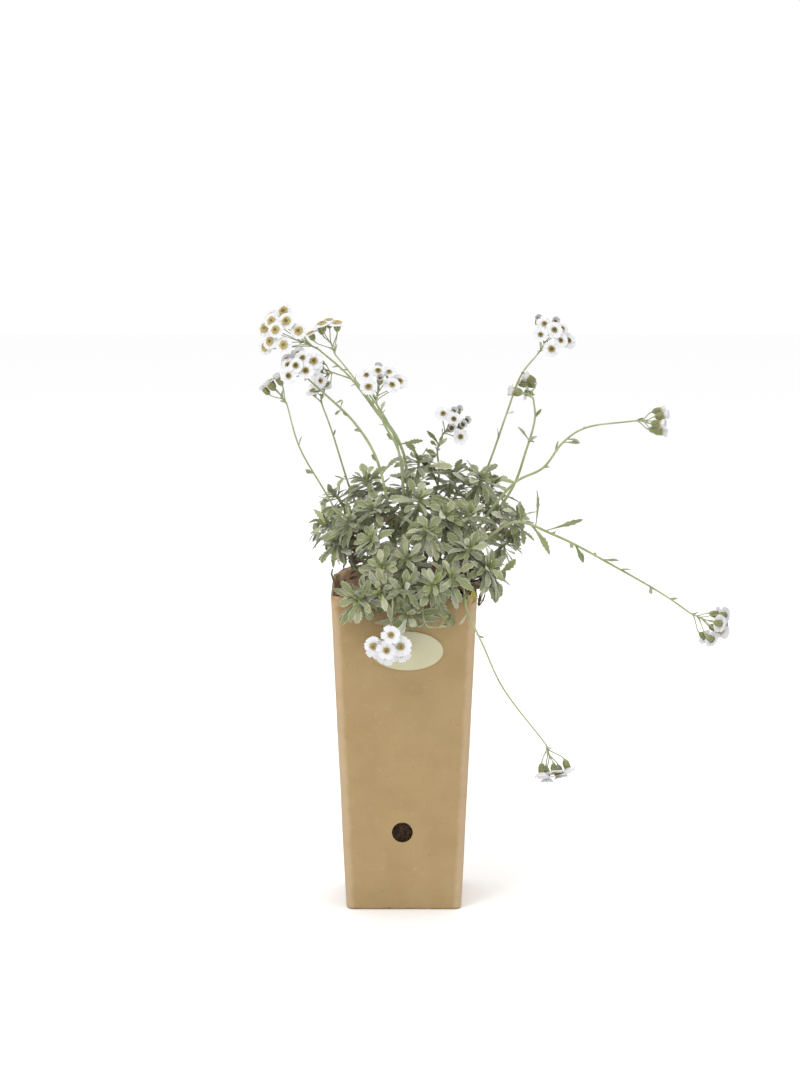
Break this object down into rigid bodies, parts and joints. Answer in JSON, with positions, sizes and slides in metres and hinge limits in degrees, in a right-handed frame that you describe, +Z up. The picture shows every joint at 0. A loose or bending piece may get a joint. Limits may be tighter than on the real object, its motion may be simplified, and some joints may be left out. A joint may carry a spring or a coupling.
{
  "type": "potted greek yarrow",
  "caption": "Flowering yarrow with toothed grey-green leaves and clusters of white daisy heads, growing in a tall square brown pot with a blank oval sticker.",
  "frame": {"origin": "centre of the pot's flat underside", "axes": "+Z up along the pot's axis, +X to the right seen from the side with the sticker, -Y out of the side with the sticker"},
  "size_m": [0.2887, 0.144, 0.378],
  "materials": {
    "pot": "matt moulded kraft fibre with fine specks and rubbed corners",
    "label": "satin pale green-cream paper",
    "soil": "crumbly damp peat",
    "foliage": "felty grey-green leaf",
    "flower_stem": "downy pale green stem",
    "flower_head": "matt white petals round a straw-coloured disc"
  },
  "bodies": {
    "root": {"pot": "pot", "label": "label", "soil": "soil", "corymb_1": "flower_head", "corymb_2": "flower_head", "corymb_3": "flower_head", "corymb_4": "flower_head", "corymb_5": "flower_head", "corymb_6": "flower_head", "corymb_7": "flower_head", "corymb_8": "flower_head", "corymb_9": "flower_head", "corymb_10": "flower_head", "corymb_11": "flower_head", "corymb_12": "flower_head", "corymb_13": "flower_head", "corymb_14": "flower_head", "corymb_15": "flower_head", "flower_stem_1": "flower_stem", "flower_stem_2": "flower_stem", "flower_stem_3": "flower_stem", "flower_stem_4": "flower_stem", "flower_stem_5": "flower_stem", "flower_stem_6": "flower_stem", "flower_stem_7": "flower_stem", "flower_stem_8": "flower_stem", "flower_stem_9": "flower_stem", "flower_stem_10": "flower_stem", "flower_stem_11": "flower_stem", "flower_stem_12": "flower_stem", "flower_stem_13": "flower_stem", "flower_stem_14": "flower_stem", "flower_stem_15": "flower_stem", "shoot_1": "foliage", "shoot_2": "foliage", "shoot_3": "foliage", "shoot_4": "foliage", "shoot_5": "foliage", "shoot_6": "foliage", "shoot_7": "foliage", "shoot_8": "foliage", "shoot_9": "foliage", "shoot_10": "foliage", "shoot_11": "foliage", "shoot_12": "foliage", "shoot_13": "foliage", "shoot_14": "foliage", "shoot_15": "foliage", "shoot_16": "foliage", "shoot_17": "foliage", "shoot_18": "foliage"}
  },
  "joints": []
}
